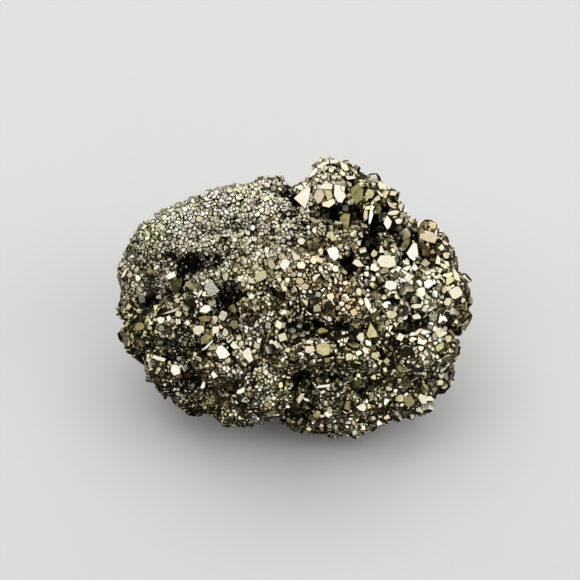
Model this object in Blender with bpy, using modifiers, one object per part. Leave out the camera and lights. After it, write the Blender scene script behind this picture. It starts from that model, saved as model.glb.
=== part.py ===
"""A pyrite nodule: one lumpy, rounded stone, 60 mm across, crusted all over with intergrown crystals.

The stone is one solid. It starts as a blank of swollen lobes melted into each other, loses its pockets and
grooves, and is then studded with crystals whose flat faces stand out of it. The underside is broken off flat.
"""

import math
import random

import bmesh
import bpy
from mathutils import Matrix, Vector
from mathutils.bvhtree import BVHTree

MM = 0.001

# Driving dimensions, in millimetres and degrees
WIDTH = 60.0
MIDDLE_HEIGHT = 17.5  # from the flat underside up to the middle of the stone
FACE_LEAN = 45.0  # the show face leans back from the floor by this much
VALLEY_DEPTH = 1.4  # the core is this much smaller than the masses it is drawn with
VOXEL = 0.5  # the lobes are melted together at this fineness
BLANK_TRIANGLES = 3200
STONE_TRIANGLES = 9700
BACK_LOBES = 46  # directions tried all round; those on the show face are left out
BACK_LOBE_RADII = (4.5, 8.0)
BACK_LOBE_SQUASH = (0.6, 0.9)  # the share of its radius that a back lobe has across
BACK_LOBE_THICKNESS = 0.8
BACK_LOBE_SEAT = 0.55  # the share of its radius that a back lobe's middle lies below the core's skin
BACK_LOBE_EDGE = -0.05  # a direction looks backwards from this much off the show face's plane
SHOW_LIFT = 0.42  # how far a show crystal's flat face stands out of the stone, as a share of its width
CRUST_LIFT = 0.16
CRUST_CRYSTALS = 300  # directions tried all round for the crystals between the show crystals
CRUST_WIDTHS = (1.8, 3.2)
CRUST_WANDER = 0.04  # how unevenly the crust's crystals are spread and tilted
CRUST_TILT = 0.28
FINE_DOME = (-1.5, 3.5)  # left of and above these the show face's dome has no crust crystals
HABIT_BULGE = 0.5  # how far a pyritohedron's roofs stand above its cube
SEED = 11

# The show face has its own frame: right, up the slope, and straight out of the face.
LEAN = math.radians(FACE_LEAN)
RIGHT = Vector((1, 0, 0))
UP_SLOPE = Vector((0, math.sin(LEAN), math.cos(LEAN)))
OUT = Vector((0, -math.cos(LEAN), math.sin(LEAN)))
MIDDLE = Vector((0, 0, MIDDLE_HEIGHT))
FACE_AXES = Matrix((RIGHT, UP_SLOPE, OUT)).transposed()

# Great masses of the stone: middle (right, up, out), then radii along the stone's own X, Y and Z.
MASSES = {
    "core": ((0, -1.5, 0), (25.5, 21.5, 17.5)),
    "left dome": ((-12, 6.5, 1), (15.5, 13, 10)),
    "left foot": ((-16, -6.5, 1), (12, 12, 10)),
    "right foot": ((16, -8, 1.5), (11, 12.5, 10)),
    "right dome": ((18, 0.5, 2), (11, 10.5, 9)),
    "belly": ((8, -12, 1), (14, 12, 10.5)),
    "shoulder": ((12, 10, -1), (9, 9, 8)),
    "seat": ((0, -6, -7), (21, 18, 12)),
}

# Lobes on the show face: middle (right, up, out), radii (right, up, out), and a turn about the out axis.
LOBES = {
    "knob": ((7.5, 19, 1), (4.5, 3.5, 4), 0),
    "knob neck": ((6, 15, 4), (5, 4.5, 4.5), 0),
    "crest bump": ((-4, 17, 3), (4, 2.5, 4), 0),
    "crest shoulder": ((-10.5, 15.5, 4.5), (6, 2.5, 4), 12),
    "shoulder ridge": ((15.5, 14, 4.5), (3, 6, 4), 36),
    "shoulder rib": ((11, 13, 6.5), (2, 4.5, 3), 14),
    "gable": ((23.5, 6.5, 5.5), (4.5, 3.5, 4), -38),
    "gable saddle": ((19.5, 9, 3.5), (3, 3, 3.5), 0),
    "right dome lobe": ((23, 0, 7.5), (6.5, 5.5, 5.5), -8),
    "dome knuckle": ((16.5, 2, 10.5), (4, 3.5, 4), 0),
    "right cheek": ((27.5, -3.5, 6), (2.5, 3.5, 3.5), 0),
    "right foot lobe": ((20.5, -9.5, 9), (7, 4.5, 5), 6),
    "right heel": ((24, -13, 5), (3.5, 4, 4), 0),
    "sill": ((10, -18, 7.5), (8, 3, 4.5), 4),
    "sill end": ((19, -17.5, 6), (6, 3.5, 4), 24),
    "sill foot": ((7, -21.5, 5.5), (9, 2.5, 3.5), 0),
    "middle lens": ((4, 1, 15), (8.5, 5, 5), -24),
    "lens tail": ((10, -3, 15.5), (4, 3, 4), -14),
    "lens brow": ((0.5, 5, 14), (4, 2.5, 3.5), -10),
    "upper cushion": ((1.5, 9, 11), (5, 3.5, 4), 0),
    "upper knuckle": ((9, 8.5, 10.5), (3.5, 2.5, 3.5), 0),
    "fan": ((14, 6.5, 9), (4, 3, 4), 20),
    "low dome": ((-3.5, -15.5, 13), (4.5, 4.5, 4.5), 0),
    "left low dome": ((-18, -5.5, 10), (6.5, 4.5, 5), 0),
    "left cheek": ((-25.5, 3, 1.5), (4, 5, 4.5), 0),
    "left hinge": ((-25.5, -2, 3), (3.5, 4, 4), 0),
    "left elbow": ((-25, -6.5, 4), (3.5, 4, 4), 0),
    "left toe": ((-20.5, -12.5, 5.5), (4, 4, 4.5), -20),
    "second toe": ((-15, -17, 6), (5.5, 3.5, 4), -8),
    "third toe": ((-8, -19.5, 6.5), (5.5, 3, 4), 0),
    "middle pad": ((-11, -11.5, 12.5), (5.5, 3.5, 4.5), -6),
    "island": ((-13.5, -0.5, 13), (3.5, 4, 4), 0),
    "centre pad": ((-4.5, -3.5, 15.5), (4.5, 5, 4.5), 0),
    "centre low": ((1.5, -10, 16), (5, 3, 4), 0),
    "centre low right": ((10, -10, 14.5), (4.5, 3, 4), -8),
    "dome crown": ((-15, 11.5, 4), (9.5, 4.5, 6), 16),
    "dome flank": ((-22.5, 8, 3), (5.5, 4.5, 5), 36),
    "dome step": ((-3.5, 11.5, 7.5), (6, 4.5, 5), -22),
    "dome lip": ((-10, 7.5, 10.5), (6, 2.5, 3.5), 0),
}

# Pockets and grooves: middle (right, up) on the stone's skin, radii (right, up) and depth, and a turn.
HOLLOWS = {
    "left pocket": ((-16.5, 4.2), (2.6, 2, 3.4), -8),
    "pocket arm": ((-20.5, 5.8), (1.8, 1, 2.2), -12),
    "pocket foot": ((-17.8, 0.8), (1.1, 1.6, 2), 0),
    "pocket end": ((-12.5, 5), (1.8, 1, 2), 20),
    "dome spot": ((-11, 8), (1.2, 1, 1.8), 0),
    "slot": ((-10, -0.5), (1.1, 3.8, 2.8), -8),
    "cheek groove": ((-23, -1.8), (1.8, 0.8, 1.6), 6),
    "lens groove": ((3, -5.5), (5.5, 1, 2.2), 10),
    "lens groove end": ((9.5, -6), (3, 0.9, 1.6), -8),
    "dark pit": ((9.5, 4.2), (1.8, 1.9, 3), 0),
    "fan pit": ((13, 8.3), (1.5, 2.1, 2.4), -10),
    "knob pit": ((7, 13.4), (1.1, 1.7, 2.2), 12),
    "first flute": ((10.8, 12.3), (0.9, 2.6, 2), 6),
    "second flute": ((15.5, 12.8), (0.9, 2.8, 1.8), -8),
    "notch": ((0.8, 15.5), (1.4, 3, 4), 0),
    "dome edge": ((2.3, 11.5), (0.9, 3, 1.8), 14),
    "sill groove": ((9, -13.5), (5, 0.9, 1.4), -6),
    "low groove": ((2, -13.5), (1, 3, 1.6), 20),
    "low pocket": ((-15, -8.5), (2.2, 0.9, 1.6), 0),
}

# Which way a show crystal's flat face looks, in the show face's frame.
FACINGS = {
    "lit": Vector((-0.18, 0.59, 0.79)),
    "level": Vector((0.10, 0.30, 0.95)),
    "left": Vector((-0.50, 0.30, 0.81)),
    "right": Vector((0.50, 0.35, 0.79)),
    "shaded": Vector((0.20, -0.35, 0.92)),
}

# Show crystals on each lobe: steps right and up from its middle, width of the flat face, habit, facing.
SHOW_CRYSTALS = {
    "knob": (
        (-2, -1.5, 2.9, "pyritohedron", "level"),
        (0.5, -1.5, 2.6, "cube", "lit"),
    ),
    "knob neck": (
        (-4, 2, 2.9, "pyritohedron", "lit"),
        (3, -2, 2.1, "cube", "shaded"),
    ),
    "crest bump": (
        (-4.5, 2, 1.7, "pyritohedron", "lit"),
        (-2.5, 2.5, 1.7, "cube", "lit"),
        (2, 2, 1.5, "pyritohedron", "level"),
    ),
    "shoulder ridge": (
        (-2.5, 4, 1.5, "pyritohedron", "lit"),
        (1.5, 2, 1.9, "cube", "right"),
        (2, 0, 1.9, "pyritohedron", "lit"),
        (-2, 0, 1.9, "cube", "lit"),
        (0.5, -1.5, 1.7, "cube", "lit"),
        (3, -1, 1.5, "pyritohedron", "level"),
    ),
    "gable": (
        (-0.5, 3, 3.3, "cube", "right"),
        (1.5, 1, 1.9, "pyritohedron", "lit"),
        (-3.5, 0.5, 2.7, "cube", "lit"),
        (-1.5, 1, 1.9, "pyritohedron", "shaded"),
        (-1.5, -1.5, 1.9, "pyritohedron", "level"),
        (-4.5, -1.5, 1.7, "pyritohedron", "level"),
        (0.5, -1.5, 1.7, "pyritohedron", "right"),
    ),
    "right dome lobe": (
        (5, 3.5, 2.2, "cube", "right"),
        (-6, -3, 2.4, "pyritohedron", "level"),
        (-1.5, -2, 2.9, "pyritohedron", "level"),
        (3.5, -0.5, 1.7, "pyritohedron", "lit"),
    ),
    "dome knuckle": (
        (0.5, 0, 2.6, "pyritohedron", "lit"),
        (1.5, -1.5, 1.7, "pyritohedron", "lit"),
        (-0.5, -2, 1.5, "pyritohedron", "lit"),
    ),
    "right cheek": (
        (2, 2, 1.7, "pyritohedron", "right"),
    ),
    "right foot lobe": (
        (-7, 3.5, 2.6, "cube", "left"),
        (6, 2.5, 1.7, "cube", "right"),
        (-2, -2.5, 1.9, "pyritohedron", "shaded"),
        (-5.5, -2.5, 2.1, "cube", "lit"),
        (-5, 0.5, 1.9, "pyritohedron", "lit"),
    ),
    "sill": (
        (-5, 3, 2.9, "cube", "lit"),
        (-5, 1.5, 1.9, "cube", "level"),
        (-8.5, 0.5, 2.2, "cube", "left"),
        (1, 3.5, 2.1, "pyritohedron", "level"),
        (3.5, 1, 2.1, "pyritohedron", "shaded"),
        (2, -1, 2.2, "pyritohedron", "lit"),
    ),
    "sill end": (
        (1, 2, 1.7, "pyritohedron", "level"),
    ),
    "sill foot": (
        (7, 1, 1.7, "cube", "lit"),
        (-3, 1.5, 1.9, "pyritohedron", "level"),
    ),
    "middle lens": (
        (-5.5, 0.5, 2.4, "cube", "level"),
    ),
    "lens tail": (
        (2.5, 2, 2.1, "cube", "lit"),
        (4, 0.5, 1.7, "pyritohedron", "shaded"),
    ),
    "lens brow": (
        (-2, 0.5, 2.2, "pyritohedron", "lit"),
    ),
    "upper cushion": (
        (3.5, -1, 1.5, "pyritohedron", "level"),
    ),
    "upper knuckle": (
        (-2.5, -1, 2.4, "pyritohedron", "lit"),
    ),
    "fan": (
        (2, -0.5, 3.1, "pyritohedron", "lit"),
        (1, 1.5, 1.7, "cube", "lit"),
        (-2.5, -0.5, 2.4, "cube", "left"),
    ),
    "low dome": (
        (-1.5, 0, 1.7, "pyritohedron", "level"),
    ),
    "left low dome": (
        (3, 1.5, 2.2, "cube", "shaded"),
        (1.5, 0, 2.2, "pyritohedron", "level"),
        (3.5, 0, 1.9, "pyritohedron", "shaded"),
        (2.5, -2, 2.1, "cube", "shaded"),
        (3.5, -2.5, 2.2, "cube", "lit"),
        (-2, 3, 2.4, "cube", "left"),
        (7.5, -1.5, 2.1, "cube", "lit"),
    ),
    "left cheek": (
        (6, -1.5, 2.7, "pyritohedron", "shaded"),
        (-2, -4.5, 1.4, "pyritohedron", "left"),
    ),
    "left elbow": (
        (-1.5, 1.5, 1.9, "pyritohedron", "shaded"),
        (0, 0.5, 1.9, "cube", "left"),
    ),
    "left toe": (
        (-1.5, 2.5, 2.6, "cube", "lit"),
        (1.5, 0.5, 2.4, "pyritohedron", "lit"),
        (3, 1, 1.7, "cube", "lit"),
        (3.5, -0.5, 2.1, "pyritohedron", "shaded"),
    ),
    "second toe": (
        (-1.5, 1.5, 1.9, "cube", "lit"),
    ),
    "third toe": (
        (0, 2.5, 1.9, "cube", "lit"),
        (-0.5, 0.5, 1.4, "cube", "lit"),
    ),
    "middle pad": (
        (-1, 2, 3.1, "pyritohedron", "lit"),
        (3, 1.5, 2.6, "cube", "lit"),
        (3, 0, 2.1, "pyritohedron", "shaded"),
        (-2.5, -2, 1.9, "pyritohedron", "lit"),
    ),
    "island": (
        (-2.5, 1, 1.5, "pyritohedron", "left"),
        (-0.5, 2, 1.7, "pyritohedron", "level"),
        (1, 1, 2.1, "cube", "level"),
        (-1.5, -1.5, 2.4, "cube", "lit"),
        (1, -2, 1.7, "pyritohedron", "shaded"),
    ),
    "centre pad": (
        (3, 1, 2.1, "pyritohedron", "lit"),
        (-1.5, 1, 1.5, "pyritohedron", "lit"),
        (-3, 4, 2.1, "pyritohedron", "level"),
    ),
    "centre low": (
        (1.5, 2, 1.7, "pyritohedron", "left"),
        (4, 1, 2.6, "cube", "level"),
        (4.5, -1, 2.1, "pyritohedron", "shaded"),
        (1, 1, 1.5, "cube", "shaded"),
        (0, 0, 1.5, "pyritohedron", "lit"),
    ),
    "centre low right": (
        (1.5, 3, 1.9, "cube", "left"),
        (-2, 3, 2.2, "cube", "shaded"),
    ),
    "dome flank": (
        (2.5, -4.5, 2.1, "cube", "lit"),
        (-1.5, 0, 1.5, "pyritohedron", "lit"),
    ),
}


def on_face(right, up, out):
    """A point of the show face's frame, in metres in the stone's own frame."""
    return (MIDDLE + FACE_AXES @ Vector((right, up, out))) * MM


def add_mesh_object(name, work_mesh, collection):
    mesh = bpy.data.meshes.new(name)
    work_mesh.to_mesh(mesh)
    work_mesh.free()
    made = bpy.data.objects.new(name, mesh)
    collection.objects.link(made)
    return made


def evaluated_mesh(made):
    """The object's mesh with its modifiers applied."""
    bpy.context.view_layer.update()
    graph = bpy.context.evaluated_depsgraph_get()
    return bpy.data.meshes.new_from_object(made.evaluated_get(graph))


def add_boolean(made, operation, collection):
    """A Boolean with every object of a collection at once."""
    step = made.modifiers.new(operation.title(), "BOOLEAN")
    step.operation = operation
    step.solver = "EXACT"
    step.operand_type = "COLLECTION"
    step.collection = collection


def new_collection(name, is_guide):
    collection = bpy.data.collections.new(name)
    collection.hide_render = is_guide
    bpy.context.scene.collection.children.link(collection)
    return collection


def hide_as_guide(made):
    made.hide_render = True
    made.display_type = "WIRE"


def add_lobe(work_mesh, middle, axes, radii, fineness=4):
    """Adds one closed ellipsoid to a mesh. Middle and radii are in metres."""
    place = Matrix.Translation(middle) @ axes.to_4x4() @ Matrix.Diagonal((*radii, 1))
    bmesh.ops.create_icosphere(work_mesh, subdivisions=fineness, radius=1, matrix=place)


def turned_face_axes(turn):
    return FACE_AXES @ Matrix.Rotation(math.radians(turn), 3, "Z")


def spiral_directions(count):
    """Directions spread evenly over a ball along a golden-angle spiral."""
    golden_angle = math.pi * (3 - math.sqrt(5))
    for step in range(count):
        height = 1 - 2 * (step + 0.5) / count
        ring = math.sqrt(1 - height * height)
        angle = golden_angle * step
        yield Vector((ring * math.cos(angle), ring * math.sin(angle), height))


def add_back_lobes(work_mesh):
    """Rounded lobes all over the back, seated on the core at even directions."""
    chance = random.Random(SEED)
    (right, up, out), core_radii = MASSES["core"]
    middle = on_face(right, up, out)
    for direction in spiral_directions(BACK_LOBES):
        size = chance.uniform(*BACK_LOBE_RADII)
        squash = chance.uniform(*BACK_LOBE_SQUASH)
        if direction.dot(OUT) > BACK_LOBE_EDGE:
            continue
        reach = Vector([direction[i] * (core_radii[i] - BACK_LOBE_SEAT * size) for i in range(3)])
        axes = direction.to_track_quat("Z", "Y").to_matrix()
        radii = [size * MM, size * squash * MM, size * BACK_LOBE_THICKNESS * MM]
        add_lobe(work_mesh, middle + reach * MM, axes, radii)


def make_blank(collection):
    """The lobes in one mesh, melted together by a voxel remesh."""
    work_mesh = bmesh.new()
    own_axes = Matrix.Identity(3)
    for centre, radii in MASSES.values():
        shrunk = [(radius - VALLEY_DEPTH) * MM for radius in radii]
        add_lobe(work_mesh, on_face(*centre), own_axes, shrunk, 5)
    for centre, radii, turn in LOBES.values():
        size = [radius * MM for radius in radii]
        add_lobe(work_mesh, on_face(*centre), turned_face_axes(turn), size)
    add_back_lobes(work_mesh)
    blank = add_mesh_object("blank", work_mesh, collection)
    hide_as_guide(blank)
    melt(blank)
    return blank


def melt(made):
    """Makes overlapping closed shapes one skin, with a cell of the voxel size at every edge."""
    step = made.modifiers.new("Melt", "REMESH")
    step.mode = "VOXEL"
    step.voxel_size = VOXEL * MM


def surface_of(mesh):
    work_mesh = bmesh.new()
    work_mesh.from_mesh(mesh)
    surface = BVHTree.FromBMesh(work_mesh)
    work_mesh.free()
    return surface


def seen_on_face(surface, right, up):
    """The point and normal of a surface that one sees at a place when looking straight at the show face."""
    point, normal, _, _ = surface.ray_cast(on_face(right, up, 2 * WIDTH), -OUT)
    return point, normal


def add_hollow_cutters(surface, collection):
    for name, (place, radii, turn) in HOLLOWS.items():
        work_mesh = bmesh.new()
        middle, _ = seen_on_face(surface, *place)
        size = [radius * MM for radius in radii]
        add_lobe(work_mesh, middle, turned_face_axes(turn), size, 3)
        hide_as_guide(add_mesh_object(name, work_mesh, collection))


def thin_out(made, wanted):
    """Collapses an object's edges until it has about the wanted number of triangles."""
    full = evaluated_mesh(made)
    full.calc_loop_triangles()
    step = made.modifiers.new("Thin", "DECIMATE")
    step.decimate_type = "COLLAPSE"
    step.ratio = min(1, wanted / len(full.loop_triangles))
    bpy.data.meshes.remove(full)


def cyclic(points):
    """Each point again with its coordinates passed round, as a cubic crystal's are."""
    return [Vector((p[i], p[(i + 1) % 3], p[(i + 2) % 3])) for p in points for i in range(3)]


def habit_corners(habit):
    """The corners of a crystal of the cubic system, in its own axes."""
    signs = (-1, 1)
    cube = [Vector((x, y, z)) for x in signs for y in signs for z in signs]
    if habit == "cube":
        return cube
    bulge = 1 + HABIT_BULGE
    half_edge = 1 - HABIT_BULGE**2
    return cube + cyclic([(0, y * bulge, z * half_edge) for y in signs for z in signs])


def make_habit(habit):
    """One crystal with a flat face up at height zero, that face one unit wide and the rest below it."""
    work_mesh = bmesh.new()
    for corner in habit_corners(habit):
        work_mesh.verts.new(corner)
    bmesh.ops.convex_hull(work_mesh, input=work_mesh.verts)
    bmesh.ops.dissolve_limit(
        work_mesh, angle_limit=math.radians(2), verts=work_mesh.verts, edges=work_mesh.edges
    )
    top = max(work_mesh.faces, key=lambda face: face.calc_area())
    upright = top.normal.rotation_difference(Vector((0, 0, 1))).to_matrix()
    bmesh.ops.rotate(work_mesh, verts=work_mesh.verts, cent=(0, 0, 0), matrix=upright)
    middle = top.calc_center_median()
    bmesh.ops.translate(work_mesh, verts=work_mesh.verts, vec=-middle)
    width = max((a.co - b.co).length for a in top.verts for b in top.verts)
    if habit == "cube":
        width /= math.sqrt(2)
    bmesh.ops.scale(work_mesh, verts=work_mesh.verts, vec=[1 / width] * 3)
    mesh = bpy.data.meshes.new(habit)
    work_mesh.to_mesh(mesh)
    work_mesh.free()
    return mesh


class Crust:
    """The crystals that stud the stone, each an operand of its union."""

    def __init__(self, blank_mesh, collection):
        self.surface = surface_of(blank_mesh)
        self.collection = collection
        self.habits = {name: make_habit(name) for name in ("cube", "pyritohedron")}
        self.seats = []

    def is_clear(self, point, width):
        return all((point - other).length > 0.5 * (width + size) * MM for other, size in self.seats)

    def add(self, point, facing, width, habit, spin, lift):
        """Seats a crystal so that its flat face stands above a point of the surface by a share of its width."""
        crystal = bpy.data.objects.new(f"crystal_{len(self.seats):03d}", self.habits[habit])
        self.collection.objects.link(crystal)
        upright = facing.to_track_quat("Z", "Y").to_matrix().to_4x4()
        place = Matrix.Translation(point + facing * lift * width * MM)
        turn = Matrix.Rotation(spin, 4, "Z")
        crystal.matrix_world = place @ upright @ turn @ Matrix.Scale(width * MM, 4)
        hide_as_guide(crystal)
        self.seats.append((point, width))


def add_show_crystals(crust):
    """The crystals that are placed one by one, found by looking straight at the show face."""
    chance = random.Random(SEED + 1)
    for lobe, crystals in SHOW_CRYSTALS.items():
        lobe_right, lobe_up, _ = LOBES[lobe][0]
        for right, up, width, habit, facing in crystals:
            point, normal = seen_on_face(crust.surface, lobe_right + right, lobe_up + up)
            spin = chance.uniform(0, math.tau)
            if point is None:
                continue
            looks = (FACE_AXES @ FACINGS[facing] + 0.6 * normal).normalized()
            crust.add(point, looks, width, habit, spin, SHOW_LIFT)


def is_on_fine_dome(point):
    right, up, out = FACE_AXES.transposed() @ (point / MM - MIDDLE)
    return right < FINE_DOME[0] and up > FINE_DOME[1] and out > 0


def add_crust_crystals(crust):
    """Crystals at even directions all round, wherever no other crystal is and the crust isn't fine."""
    chance = random.Random(SEED + 2)
    for direction in spiral_directions(CRUST_CRYSTALS):
        wander = Vector([chance.gauss(0, CRUST_WANDER) for _ in range(3)])
        tilt = Vector([chance.gauss(0, CRUST_TILT) for _ in range(3)])
        width = chance.uniform(*CRUST_WIDTHS)
        habit = chance.choice(("cube", "pyritohedron", "pyritohedron"))
        spin = chance.uniform(0, math.tau)
        heading = (direction + wander).normalized()
        above = MIDDLE * MM + heading * WIDTH * MM
        point, normal, _, _ = crust.surface.ray_cast(above, -heading)
        if not crust.is_clear(point, width) or is_on_fine_dome(point):
            continue
        crust.add(point, (normal + tilt).normalized(), width, habit, spin, CRUST_LIFT)


def add_floor_cutter(collection):
    """The block under the stone that breaks its underside off flat."""
    work_mesh = bmesh.new()
    block = Matrix.Diagonal((2 * WIDTH * MM, 2 * WIDTH * MM, WIDTH * MM, 1))
    below = Matrix.Translation((0, 0, -0.5 * WIDTH * MM))
    bmesh.ops.create_cube(work_mesh, size=1, matrix=below @ block)
    hide_as_guide(add_mesh_object("floor_block", work_mesh, collection))


def pyrite_material():
    material = bpy.data.materials.new("pyrite")
    material.use_nodes = True
    surface = material.node_tree.nodes["Principled BSDF"]
    surface.inputs["Base Color"].default_value = (0.62, 0.53, 0.36, 1)
    surface.inputs["Metallic"].default_value = 1.0
    surface.inputs["Roughness"].default_value = 0.32
    return material


def stand_on_origin(mesh):
    """Moves the finished stone so that its lowest level and the middle of its box are at the origin."""
    corners = [vertex.co for vertex in mesh.vertices]
    low = Vector([min(corner[i] for corner in corners) for i in range(3)])
    high = Vector([max(corner[i] for corner in corners) for i in range(3)])
    middle = (low + high) / 2
    mesh.transform(Matrix.Translation((-middle.x, -middle.y, -low.z)))


def build():
    for old in list(bpy.data.objects):
        bpy.data.objects.remove(old)
    stone_collection = new_collection("pyrite_nodule", False)
    blank_collection = new_collection("blank", True)
    hollow_collection = new_collection("hollows", True)
    crystal_collection = new_collection("crystals", True)
    floor_collection = new_collection("floor", True)

    blank = make_blank(blank_collection)
    add_hollow_cutters(surface_of(evaluated_mesh(blank)), hollow_collection)
    add_boolean(blank, "DIFFERENCE", hollow_collection)
    melt(blank)
    thin_out(blank, BLANK_TRIANGLES)
    blank_mesh = evaluated_mesh(blank)

    crust = Crust(blank_mesh, crystal_collection)
    add_show_crystals(crust)
    add_crust_crystals(crust)
    add_floor_cutter(floor_collection)

    studded = bpy.data.objects.new("studded_blank", blank_mesh)
    blank_collection.objects.link(studded)
    hide_as_guide(studded)
    add_boolean(studded, "UNION", crystal_collection)
    thin_out(studded, STONE_TRIANGLES)
    add_boolean(studded, "DIFFERENCE", floor_collection)

    mesh = evaluated_mesh(studded)
    mesh.name = "pyrite_nodule"
    stand_on_origin(mesh)
    mesh.materials.clear()
    mesh.materials.append(pyrite_material())
    stone = bpy.data.objects.new("pyrite_nodule", mesh)
    stone_collection.objects.link(stone)


build()
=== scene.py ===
"""A pyrite nodule on a pale floor: its dark skin, its large flat crystals, and the grains grown on it."""

import math

import bmesh
import bpy
import numpy as np
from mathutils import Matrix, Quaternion, Vector, noise
from mathutils.bvhtree import BVHTree
from mathutils.geometry import convex_hull_2d


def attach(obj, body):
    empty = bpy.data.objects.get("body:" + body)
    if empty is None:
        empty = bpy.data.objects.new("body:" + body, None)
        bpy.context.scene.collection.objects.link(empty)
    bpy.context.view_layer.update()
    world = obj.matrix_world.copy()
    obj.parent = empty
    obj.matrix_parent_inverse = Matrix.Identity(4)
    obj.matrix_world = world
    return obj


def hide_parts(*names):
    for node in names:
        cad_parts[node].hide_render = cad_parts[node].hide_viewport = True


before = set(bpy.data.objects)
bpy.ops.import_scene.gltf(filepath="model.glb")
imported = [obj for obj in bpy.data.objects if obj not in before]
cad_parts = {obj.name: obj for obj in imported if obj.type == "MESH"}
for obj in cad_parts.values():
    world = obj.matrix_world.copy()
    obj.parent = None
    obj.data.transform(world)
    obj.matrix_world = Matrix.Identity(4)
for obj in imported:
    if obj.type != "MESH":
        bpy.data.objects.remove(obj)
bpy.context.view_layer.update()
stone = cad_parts["pyrite_nodule"]
mm = 0.001


# The nodule's skin is dark, iron-stained sulphide that the crystals grew out of. It shows as thin dark seams
# between them, and bare on the broken underside.

rest_level = 0.25 * mm  # what lies wholly below this is the broken underside
crust_depth = 0.35 * mm  # how far the skin between the grains lies below the stone's outer form


def is_underside(face):
    return max(corner.co.z for corner in face.verts) < rest_level


skin = bmesh.new()
skin.from_mesh(stone.data)
bmesh.ops.remove_doubles(skin, verts=skin.verts, dist=0.002 * mm)
skin.faces.ensure_lookup_table()
skin.normal_update()
for face in skin.faces:
    face.smooth = False
skin_surface = BVHTree.FromBMesh(skin)
skin_mesh = bpy.data.meshes.new("skin")
skin.to_mesh(skin_mesh)
for corner, point in zip(skin.verts, skin_mesh.vertices):
    if corner.co.z > rest_level:
        point.co = corner.co - corner.normal * crust_depth
skin_piece = bpy.data.objects.new("skin", skin_mesh)
bpy.context.collection.objects.link(skin_piece)


def new_material(name):
    material = bpy.data.materials.new(name)
    material.use_nodes = True
    return material, material.node_tree.nodes, material.node_tree.links


def add_noise(nodes, links, place, size, detail):
    """Noise whose lumps are about the given size in metres, in the stone's own space."""
    made = nodes.new("ShaderNodeTexNoise")
    made.inputs["Scale"].default_value = 1 / size
    made.inputs["Detail"].default_value = detail
    links.new(place.outputs["Object"], made.inputs["Vector"])
    return made


def add_ramp(nodes, links, source, stops):
    """A colour ramp. Its stops are (position, colour)."""
    ramp = nodes.new("ShaderNodeValToRGB")
    while len(ramp.color_ramp.elements) < len(stops):
        ramp.color_ramp.elements.new(0.5)
    for element, (position, colour) in zip(ramp.color_ramp.elements, stops):
        element.position = position
        element.color = (*colour, 1)
    links.new(source, ramp.inputs["Fac"])
    return ramp


def add_range(nodes, links, source, low, high):
    """Spreads a source that runs from 0 to 1 between two values."""
    spread = nodes.new("ShaderNodeMapRange")
    spread.inputs["To Min"].default_value = low
    spread.inputs["To Max"].default_value = high
    links.new(source, spread.inputs["Value"])
    return spread.outputs["Result"]


def add_bump(nodes, links, surface, height, depth):
    """Relief of the given depth in metres."""
    bump = nodes.new("ShaderNodeBump")
    bump.inputs["Strength"].default_value = 1.0
    bump.inputs["Distance"].default_value = depth
    links.new(height, bump.inputs["Height"])
    links.new(bump.outputs["Normal"], surface.inputs["Normal"])


def stained_skin():
    """Dark brown sulphide between the grains, rough, with a dull metal shine."""
    material, nodes, links = new_material("stained_skin")
    surface = nodes["Principled BSDF"]
    place = nodes.new("ShaderNodeTexCoord")
    stain_and_painted_shading = add_noise(nodes, links, place, 1.4 * mm, 5)
    browns = [(0.3, (0.006, 0.004, 0.002)), (0.5, (0.025, 0.017, 0.008)), (0.75, (0.09, 0.065, 0.03))]
    ramp = add_ramp(nodes, links, stain_and_painted_shading.outputs["Fac"], browns)
    links.new(ramp.outputs["Color"], surface.inputs["Base Color"])
    surface.inputs["Metallic"].default_value = 0.85
    links.new(add_range(nodes, links, stain_and_painted_shading.outputs["Fac"], 0.65, 0.35), surface.inputs["Roughness"])
    grit = add_noise(nodes, links, place, 0.25 * mm, 3)
    add_bump(nodes, links, surface, grit.outputs["Fac"], 0.1 * mm)
    return material


skin_mesh.materials.append(stained_skin())
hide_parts("pyrite_nodule")
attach(skin_piece, "root")


# The large crystals are the pyrite that grew freely in the open. Each stands proud of the crust with one
# clean, flat, straight-sided face outwards, has duller, olive faces on its sides, darkened as painted shade,
# and is sunk in the skin that it grew from.

widest_crease = math.radians(1.2)  # triangles that lean less than this to each other are one crystal face
smallest_top = 1.4 * mm**2
proud = 0.9  # the sides of a crystal that grew freely have this share of its top's area, or more
covered_share = 0.75  # of the crystals that stand less proud, this share is grown over
smallest_side = 0.5 * mm**2
top_rise = (0.05 * mm, 0.25 * mm)
crystal_bevel = 0.08 * mm
crystal_root = 0.5 * mm
lowest = 0.05 * mm  # nothing but the skin itself reaches below this
untarnished = 0.5  # on the scale from olive, 0, to tan, 1

centre_table = np.array([face.calc_center_median() for face in skin.faces])
normal_table = np.array([face.normal for face in skin.faces])
area_table = np.array([face.calc_area() for face in skin.faces])


def flat_regions():
    """The crystal faces of the skin: sets of neighbouring triangles that lie in one plane."""
    regions = []
    seen = set()
    for start in skin.faces:
        if start.index in seen:
            continue
        seen.add(start.index)
        flat = [start]
        for face in flat:
            for edge in face.edges:
                for other in edge.link_faces:
                    if other.index not in seen and other.normal.angle(start.normal, 4) < widest_crease:
                        seen.add(other.index)
                        flat.append(other)
        regions.append(flat)
    return regions


def total_area(flat):
    return area_table[[face.index for face in flat]].sum()


def looks_outwards(flat):
    """Whether a crystal face looks the way that the skin around it does, rather than along it."""
    middle = centre_table[[face.index for face in flat]].mean(axis=0)
    near = np.linalg.norm(centre_table - middle, axis=1) < 3.5 * mm
    around = (normal_table[near] * area_table[near, None]).sum(axis=0)
    return np.dot(flat[0].normal, around) / np.linalg.norm(around) > 0.75


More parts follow.
